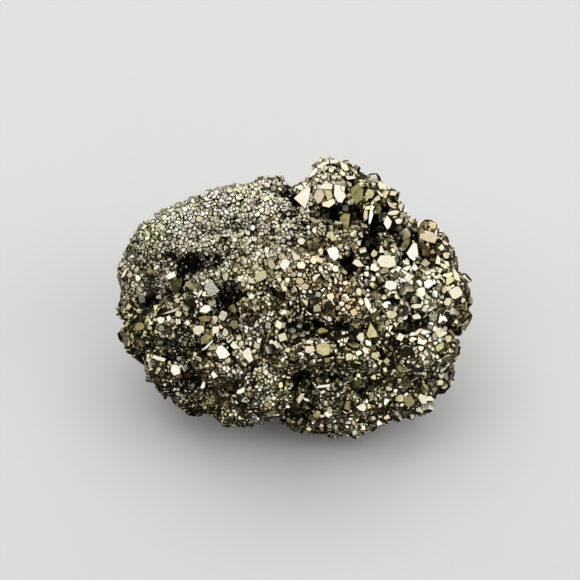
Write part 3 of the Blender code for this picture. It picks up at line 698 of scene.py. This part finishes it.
class Packing:
    """Keeps the grains from sitting on each other: cells of a grid, each with the grains that it holds."""

    def __init__(self, cell):
        self.cell = cell
        self.cells = {}

    def near(self, point):
        x, y, z = (int(math.floor(c / self.cell)) for c in point)
        for i in (x - 1, x, x + 1):
            for j in (y - 1, y, y + 1):
                for k in (z - 1, z, z + 1):
                    yield from self.cells.get((i, j, k), ())

    def takes(self, point, width, share):
        """Whether no other grain is nearer than their half widths together, times share."""
        x, y, z = point
        for ox, oy, oz, size in self.near(point):
            gap = 0.5 * (size + width) * share
            if (ox - x) ** 2 + (oy - y) ** 2 + (oz - z) ** 2 < gap * gap:
                return False
        return True

    def add(self, point, width):
        key = tuple(int(math.floor(c / self.cell)) for c in point)
        self.cells.setdefault(key, []).append((*point, width))


def coarseness(point):
    """How coarse the crust is here: 0 on the fine dome, 0.5 in the middle, 1 on the right and the back."""
    right = max(0.0, min(1.0, (point.x - 6 * mm) / (14 * mm)))
    back = max(0.0, min(1.0, (point.y - 8 * mm) / (10 * mm)))
    patch = 0.3 * noise.noise(point / (6 * mm))
    knob = 0.5 if is_on_knob(point) else 0
    low = max(0.0, min(1.0, -((point - stone_middle).dot(up_the_slope) + 6 * mm) / (8 * mm)))
    coarse = 0.42 + 0.55 * right + 0.4 * back + patch - knob - 0.35 * low
    return max(0.0, min(1.0, coarse * (1 - 0.9 * on_fine_dome(point))))


packing = Packing(2.4 * mm)


def under_large_face(spot, clear):
    """Whether a place on the skin lies under one of the large crystals, or not clear of it."""
    offsets = spot - large_middles
    for index in np.nonzero((offsets * offsets).sum(axis=1) < large_reaches)[0]:
        _, axes, outline = large_faces[index]
        x, y, height = offsets[index] @ axes
        if height > 0.8 * mm or height < -1.6 * mm:
            continue
        for (ax, ay), (bx, by) in zip(outline, outline[1:] + outline[:1]):
            side = math.hypot(bx - ax, by - ay)
            if ((bx - ax) * (y - ay) - (by - ay) * (x - ax)) / side < -clear:
                break
        else:
            return True
    return False


large_middles = np.array([middle for middle, _, _ in large_faces])
large_reaches = np.array([max(math.hypot(x, y) for x, y in outline) for _, _, outline in large_faces])
large_reaches = (large_reaches + 1 * mm) ** 2


def plant_grains():
    """Chooses every grain's place, from the largest down, so that small ones fill what gaps are left."""
    chance = np.random.default_rng(seed)
    open_area = (area_table * open_skin).sum() / (10 * mm) ** 2
    planted = []
    for width, fine_odds, coarse_odds in grain_sizes:
        most = max(fine_odds, coarse_odds)
        spots, normals = spots_on_skin(int(most * open_area), chance)
        luck = chance.random(len(spots))
        for spot, normal, draw in zip(spots, normals, luck):
            coarse = coarseness(Vector(spot))
            if width > 1.2:
                coarse = coarse**2
            if draw * most > fine_odds + (coarse_odds - fine_odds) * coarse:
                continue
            size = width * mm * chance.uniform(0.85, 1.15)
            if packing.takes(spot, size, 0.8) and not under_large_face(spot, clear_of_large * size):
                packing.add(spot, size)
                planted.append((spot, normal, size))
    return planted


def without_short_sides(outline, shortest):
    kept = []
    for point in outline:
        if not kept or math.dist(point, kept[-1]) > shortest:
            kept.append(point)
    while len(kept) > 3 and math.dist(kept[0], kept[-1]) <= shortest:
        kept.pop()
    return kept


def met_outline(spot, sideways, upwards, size, chance):
    """The outline that a grain grows to before it meets its neighbours, on its own flat ground."""
    outline = []
    count = chance.integers(4, 7)
    start = chance.uniform(0, math.tau)
    for step in range(count):
        turn = start + math.tau * step / count
        reach = size * chance.uniform(0.75, 1.05)
        outline.append((reach * math.cos(turn), reach * math.sin(turn)))
    x, y, z = spot
    for ox, oy, oz, other_size in packing.near(spot):
        step = (ox - x, oy - y, oz - z)
        across = step[0] * sideways[0] + step[1] * sideways[1] + step[2] * sideways[2]
        along = step[0] * upwards[0] + step[1] * upwards[1] + step[2] * upwards[2]
        apart = math.hypot(across, along)
        if apart < 0.05 * size or apart > 1.1 * (size + other_size):
            continue
        middle = apart * size / (size + other_size) - least_gap
        outline = cut_away(outline, across / apart, along / apart, middle)
        if len(outline) < 3:
            return []
    return without_short_sides(outline, 0.24 * size)


def random_slopes(chance):
    """The slopes of a grain's upper faces: one face, a roof of two, or a point of three or four."""
    lean = chance.normal(0, 0.28, 2)
    count = chance.choice((1, 2, 3, 4), p=(0.35, 0.3, 0.25, 0.1))
    if count == 1:
        return [lean]
    steepness = chance.uniform(0.25, 0.75)
    start = chance.uniform(0, math.tau)
    turns = [start + math.tau * step / count for step in range(count)]
    return [lean + steepness * np.array((math.cos(turn), math.sin(turn))) for turn in turns]


def met_grain(outline, size, chance):
    """A grain that grew until it met others: its corners, its faces and the painted shade of each corner.

    Its upper faces meet in ridges and corners, and a narrow bevel leads from them down to its straight sides.
    """
    middle = np.mean(outline, axis=0)
    inset = chance.uniform(0.84, 0.95)
    inner = [tuple(middle + (np.array(point) - middle) * inset) for point in outline]
    slopes = random_slopes(chance)
    peak = middle + chance.normal(0, 0.08 * size, 2)
    top = size * chance.uniform(0.15, 0.42)
    points, painted_shades, index_of = [], [], {}

    def corner(x, y, slope):
        key = (round(x * 1e6), round(y * 1e6))
        if key not in index_of:
            index_of[key] = len(points)
            points.append((x, y, top - slope[0] * (x - peak[0]) - slope[1] * (y - peak[1])))
            painted_shades.append(0.0)
        return index_of[key]

    faces = []
    for slope in slopes:
        face = inner
        for other in slopes:
            step = other - slope
            steep = math.hypot(*step)
            if steep > 0 and len(face) > 2:
                step /= steep
                face = cut_away(face, step[0], step[1], step[0] * peak[0] + step[1] * peak[1])
        loop = [corner(x, y, slope) for x, y in face]
        loop = [one for one, before in zip(loop, loop[-1:] + loop[:-1]) if one != before]
        if len(loop) > 2:
            faces.append(tuple(loop))
    edges = {(a, b) for face in faces for a, b in zip(face, face[1:] + face[:1])}
    following = {a: b for a, b in edges if (b, a) not in edges}
    if not following:
        return None
    rim = [next(iter(following))]
    while following[rim[-1]] != rim[0] and len(rim) <= len(following):
        rim.append(following[rim[-1]])
    if len(rim) != len(following):
        return None
    shoulder = size * chance.uniform(0.05, 0.16)
    count, outer, base = len(rim), len(points), len(points) + len(rim)
    for index in rim:
        x, y = middle + (np.array(points[index][:2]) - middle) / inset
        points.append((x, y, points[index][2] - shoulder))
    points.extend([(x, y, -0.45 * size - clump_height) for x, y, _ in points[outer:]])
    # painted shade: the shoulder ring half dark, the foot ring wholly dark
    painted_shades.extend([0.55] * count + [1.0] * count)
    for step in range(count):
        after = (step + 1) % count
        faces.append((outer + step, outer + after, rim[after], rim[step]))
        faces.append((base + step, base + after, outer + after, outer + step))
    faces.append(tuple(base + step for step in reversed(range(count))))
    return points, faces, painted_shades


free_forms = {
    "cube": [(1, 1, 1)],
    "pyritohedron": [(1, 1, 1), (0, 1.5, 0.75)],
    "cut cube": [(1, 1, 0.6)],
}


def mirrored_all_ways(corner):
    """The corner in each mirror image and turn of a cubic crystal that leaves its form the same."""
    x, y, z = corner
    found = set()
    for a, b, c in [(x, y, z), (y, z, x), (z, x, y)]:
        found.update((a * i, b * j, c * k) for i in (-1, 1) for j in (-1, 1) for k in (-1, 1))
    return sorted(found)


def free_form(corners):
    """One closed crystal with its largest face up, that face one unit across: its corners and faces."""
    form = bmesh.new()
    for corner in corners:
        for point in mirrored_all_ways(corner):
            form.verts.new(point)
    bmesh.ops.convex_hull(form, input=form.verts)
    bmesh.ops.dissolve_limit(form, angle_limit=0.02, verts=form.verts, edges=form.edges)
    top = max(form.faces, key=lambda face: (round(face.calc_area(), 4), face.normal.z))
    upright = top.normal.rotation_difference(Vector((0, 0, 1))).to_matrix()
    bmesh.ops.rotate(form, verts=form.verts, cent=(0, 0, 0), matrix=upright)
    form.verts.index_update()
    points = np.array([corner.co for corner in form.verts])
    faces = [tuple(corner.index for corner in face.verts) for face in form.faces]
    form.free()
    flat_top = points[points[:, 2] > points[:, 2].max() - 0.001]
    width = 2 * np.hypot(flat_top[:, 0], flat_top[:, 1]).mean()
    points[:, 2] -= points[:, 2].max()
    return points / width, faces


forms = [free_form(corners) for corners in free_forms.values()]


def free_grain(size, chance):
    """A freely grown grain, its flat face leaning a little: corners, faces and the painted shade of each
    corner.
    """
    corners, faces = forms[chance.integers(len(forms))]
    # painted shade: darker the lower the corner
    painted_shades = np.clip(-corners[:, 2] / 0.4, 0, 1) * 0.8
    lean = Vector((*chance.normal(0, 0.22, 2), 1)).to_track_quat("Z", "Y")
    turn = lean @ Quaternion((0, 0, 1), chance.uniform(0, math.tau))
    stretch = chance.uniform(0.85, 1.2, 3) * (1, 1, 0.9)
    placed = (corners * stretch * size * chance.uniform(0.85, 1.05)) @ np.array(turn.to_matrix()).T
    placed[:, 2] += size * chance.uniform(0.3, 0.5)
    return placed, faces, painted_shades.tolist()


sky_ray_count = 18
golden_turn = 2.39996  # spreads them evenly
shelter_reach = 12 * mm
sky_rays = []
for step in range(sky_ray_count):
    rise = 0.15 + 0.8 * (step + 0.5) / sky_ray_count
    ring = math.sqrt(1 - rise * rise)
    turn = golden_turn * step
    sky_rays.append(Vector((ring * math.cos(turn), ring * math.sin(turn), rise)))


def shelter(point, normal):
    """The share of the open sky that the stone itself hides here, which is painted on the grains as shade."""
    start = point + normal * 0.5 * mm
    turn = normal.to_track_quat("Z", "Y")
    painted_shade = 0
    for ray in sky_rays:
        if skin_surface.ray_cast(start, turn @ ray, shelter_reach)[0] is not None:
            painted_shade += 1
    return painted_shade / len(sky_rays)


def clump_at(spot):
    """The clump of grains here: the way from its middle, its own luck, and how far inside it the spot is."""
    width = clump_sizes[0] if on_fine_dome(spot) > 0.3 else clump_sizes[1]
    place = spot / width
    place += 0.35 * Vector([noise.noise(place + Vector((0, 0, offset))) for offset in (0, 31.4, 57.8)])
    distances, centres = noise.voronoi(place)
    luck = noise.cell(centres[0] * 57)
    return place - centres[0], luck, min(1, (distances[1] - distances[0]) / 0.45)


# Where the crust of the show face is tarnished or has painted shading: how far to the right and up in mm,
# how wide, how much it is tarnished, above 0 tan and below 0 olive, and its painted shading, above 0 painted
# shade in its hollows, below 0 painted light that brightens the grains.
patches = (
    (7, -1, 5, 0.5, 0),
    (9.2, -1.7, 3, 0.4, -0.5),
    (-1, 2, 5, 0.5, 0),
    (6, 17.5, 3, 0.3, -0.3),
    (6.5, 22.5, 2, -0.7, -0.5),
    (24, 9, 5, 0.4, 0),
    (-24, 10, 3, -0.7, 0),
    (-18, 17, 3, -0.7, 0),
    (-7, 19, 4, -0.7, 0),
    (-26, -6, 4, -0.8, 0),
    (11, 15, 4, -0.7, 0),
    (14, -15, 4, -0.5, 0),
    (-19, 12, 7, 0, -0.5),
    (-9, 14, 5, 0, -0.3),
    (18, 0, 6, -0.1, -0.5),
    (21.4, -0.7, 4, 0, -0.6),
    (24, -7, 5, -0.2, -0.4),
    (-5, -15, 9, 0, -0.25),
    (13, -18, 8, 0, -0.3),
    (-17.5, 4, 3, 0, 0.45),
    (-23.5, -1.8, 1.6, 0, 0.6),
    (-10.8, 0.5, 1.6, 0, 0.3),
    (-10.6, -3, 1.4, 0, 0.4),
    (-12.2, 8, 1.4, 0, 0.5),
    (0, 12.6, 1.3, 0, 0.7),
    (6.9, 13.7, 1.7, 0, 0.6),
    (10.6, 13, 1.2, 0, 0.7),
    (14.1, 12.8, 1, 0, 0.7),
    (15.9, 15.6, 0.9, 0, 0.8),
    (13.3, 8.6, 1.8, 0, 0.6),
    (9.4, 3.8, 1.7, 0, 0.7),
    (0.5, -6.8, 2, 0, 0.4),
    (1, -14.6, 2, 0, 0.8),
    (8, -13.5, 2, 0, 0.4),
    (18, -10, 1.7, 0, 0.4),
    (-20, -9, 2, 0, 0.4),
    (-17, -18, 4, 0, 0.4),
)


def patch_at(spot):
    """The tarnish of the crust here, from 0, olive, through 0.5, clean, to 1, tan; and its painted shading,
    shade above 0 and light below 0.
    """
    offset = spot - stone_middle
    tint = 0.6 * noise.noise(spot / (7 * mm)) + 0.5 * noise.noise(spot / (1.5 * mm))
    stain_and_painted_shading = 0
    if offset.dot(outwards) > 0:
        for right, up, width, tinted, painted_shading in patches:
            across, along = offset.dot(to_right) - right * mm, offset.dot(up_the_slope) - up * mm
            away = math.hypot(across, along) / (width * mm)
            tint += tinted * math.exp(-away * away)
            stain_and_painted_shading += painted_shading * math.exp(-away * away)
    return max(0.0, min(1.0, 0.5 + 0.5 * tint)), stain_and_painted_shading


def grow_grains(members, chance):
    """The corners, faces, tone and painted shade of every grain of one part of the crust."""
    grown = []
    for spot, normal, size in members:
        way, luck, inside = clump_at(Vector(spot))
        normal = normal + 0.5 * np.array(way)
        normal /= np.linalg.norm(normal)
        axes = np.array(Vector(normal).to_track_quat("Z", "Y").to_matrix())
        if size > freely_grown and chance.random() < free_share:
            corners, sides, dark = free_grain(size, chance)
        else:
            outline = met_outline(spot, axes[:, 0], axes[:, 1], size, chance)
            grain = met_grain(outline, size, chance) if len(outline) > 2 else None
            if grain is None:
                continue
            corners, sides, dark = grain
        lift = clump_height * (0.7 * inside * (2 - inside) + 0.3 * luck) - crust_depth
        placed = np.array(corners) @ axes.T + spot + normal * lift
        if placed[:, 2].min() < lowest:
            continue
        # painted shade: darkening from the hidden sky, from the clump's edge and from the patches, mottled by
        # noise
        clump_edge_shade = 0.7 + 0.3 * on_fine_dome(spot)
        painted_shade = 2.0 * max(0, shelter(Vector(spot), Vector(normal)) - open_share)
        painted_shade += clump_edge_shade * max(0, clump_edge - inside)
        tint, stain_and_painted_shading = patch_at(Vector(spot))
        mottled = 1 + 0.9 * noise.noise(Vector(spot) / (0.9 * mm))
        painted_shade = max(0, min(darkest, mottled * (painted_shade + max(0, stain_and_painted_shading) + 0.4 * min(0, stain_and_painted_shading))))
        # painted light: the tone is raised on the fine dome and where the patches paint light; the rest is
        # random
        tone = min(1, 0.7 * chance.random() + 0.3 * luck + 0.3 * on_fine_dome(spot) + 0.7 * max(0, -stain_and_painted_shading))
        grown.append((placed.tolist(), sides, tone, [value + painted_shade for value in dark], tint))
    return grown


def grain_pyrite(name, roughest, bump):
    """Pyrite grains: brass of many tones, with painted shade, darker and browner, down in the gaps."""
    material, nodes, links = new_material(name)
    brasses = [
        (0.0, (0.30, 0.26, 0.14)),
        (0.2, (0.50, 0.44, 0.27)),
        (0.5, (0.68, 0.62, 0.47)),
        (0.8, (0.77, 0.72, 0.59)),
        (1.0, (0.84, 0.80, 0.71)),
    ]
    brass = add_ramp(nodes, links, add_attribute(nodes, "tone"), brasses)
    place = nodes.new("ShaderNodeTexCoord")
    tints = [(0, (0.86, 0.9, 0.6)), (untarnished, (1, 1, 1)), (1, (1, 0.86, 0.7))]
    tarnish = add_ramp(nodes, links, add_attribute(nodes, "tarnish"), tints)
    tinted = nodes.new("ShaderNodeMix")
    tinted.data_type = "RGBA"
    tinted.blend_type = "MULTIPLY"
    tinted.inputs["Factor"].default_value = 1.0
    links.new(brass.outputs["Color"], tinted.inputs["A"])
    links.new(tarnish.outputs["Color"], tinted.inputs["B"])
    finish_crystal(nodes, links, place, tinted.outputs["Result"], 0.25 * mm, 3, (0.06, roughest), bump)
    return material


bright_grains = grain_pyrite("bright_grains", 0.3, 0.025 * mm)
frosted_grains = grain_pyrite("frosted_grains", 0.5, 0.06 * mm)


def zone_of(point):
    if on_fine_dome(point) > 0.05:
        return "dome_left_grains" if point[0] < -12 * mm else "dome_right_grains"
    if point[1] > 6 * mm:
        return "back_grains"
    if point[0] < -8 * mm:
        return "left_grains"
    if point[0] > 9 * mm:
        return "right_grains"
    return "middle_grains"


zones = {}
for grain in plant_grains():
    zones.setdefault(zone_of(grain[0]), []).append(grain)
chance = np.random.default_rng(seed + 1)
for name, members in sorted(zones.items()):
    piece = mesh_piece(name, grow_grains(members, chance))
    piece.data.materials.append(frosted_grains if name.startswith("dome") else bright_grains)
    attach(piece, "root")


# The floor is a plain pale sheet of paper, which the crystals don't mirror. Nine soft boxes stand all round
# and above the stone with dark gaps between them, so that some of its faces flash and others stay dark.

floor_mesh = bpy.data.meshes.new("floor")
floor_form = bmesh.new()
bmesh.ops.create_grid(floor_form, x_segments=1, y_segments=1, size=3.0)
floor_form.to_mesh(floor_mesh)
floor_form.free()
floor = bpy.data.objects.new("floor", floor_mesh)
bpy.context.collection.objects.link(floor)
floor_finish = new_material("floor_paper")[0]
floor_paper = floor_finish.node_tree.nodes["Principled BSDF"]
floor_paper.inputs["Base Color"].default_value = (0.62, 0.62, 0.61, 1)
floor_paper.inputs["Roughness"].default_value = 0.9
floor_mesh.materials.append(floor_finish)
floor.visible_glossy = False


def add_softbox(name, direction, distance, width, height, radiance):
    """A soft box of an even brightness, facing the stone."""
    lamp = bpy.data.lights.new(name, "AREA")
    lamp.shape = "RECTANGLE"
    lamp.size = width
    lamp.size_y = height
    lamp.energy = radiance * width * height * math.pi
    box = bpy.data.objects.new(name, lamp)
    bpy.context.collection.objects.link(box)
    away = Vector(direction).normalized()
    box.location = stone_middle + away * distance
    box.rotation_euler = away.to_track_quat("Z", "Y").to_euler()


add_softbox("high_front_left", (-0.35, -0.35, 0.87), 0.5, 0.42, 0.4, 1.35)
add_softbox("high_back", (-0.05, 0.4, 0.9), 0.5, 0.7, 0.42, 1.8)
add_softbox("low_back_left", (-0.5, 0.8, 0.35), 0.7, 0.65, 0.4, 1.7)
add_softbox("low_back_right", (0.5, 0.8, 0.35), 0.7, 0.6, 0.4, 1.6)
add_softbox("right_softbox", (0.95, -0.1, 0.35), 0.6, 0.45, 0.45, 1.8)
add_softbox("high_right", (0.55, -0.4, 0.75), 0.5, 0.42, 0.4, 1.4)
add_softbox("left_softbox", (-0.95, -0.1, 0.35), 0.6, 0.45, 0.45, 1.4)
add_softbox("low_front_right", (0.35, -0.93, 0.15), 0.7, 0.5, 0.35, 1.6)
add_softbox("low_front_left", (-0.4, -0.9, 0.2), 0.7, 0.5, 0.35, 1.3)

world = bpy.data.worlds.new("studio")
bpy.context.scene.world = world
world.use_nodes = True
studio_air = world.node_tree.nodes["Background"]
studio_air.inputs["Color"].default_value = (1, 0.88, 0.7, 1)
studio_air.inputs["Strength"].default_value = 0.02
bpy.context.scene.view_settings.view_transform = "Standard"

camera_data = bpy.data.cameras.new("camera")
camera_data.lens = 120
camera_data.sensor_width = 36
camera = bpy.data.objects.new("camera", camera_data)
bpy.context.collection.objects.link(camera)
camera.location = eye
camera.rotation_euler = outwards.to_track_quat("Z", "Y").to_euler()
bpy.context.scene.camera = camera
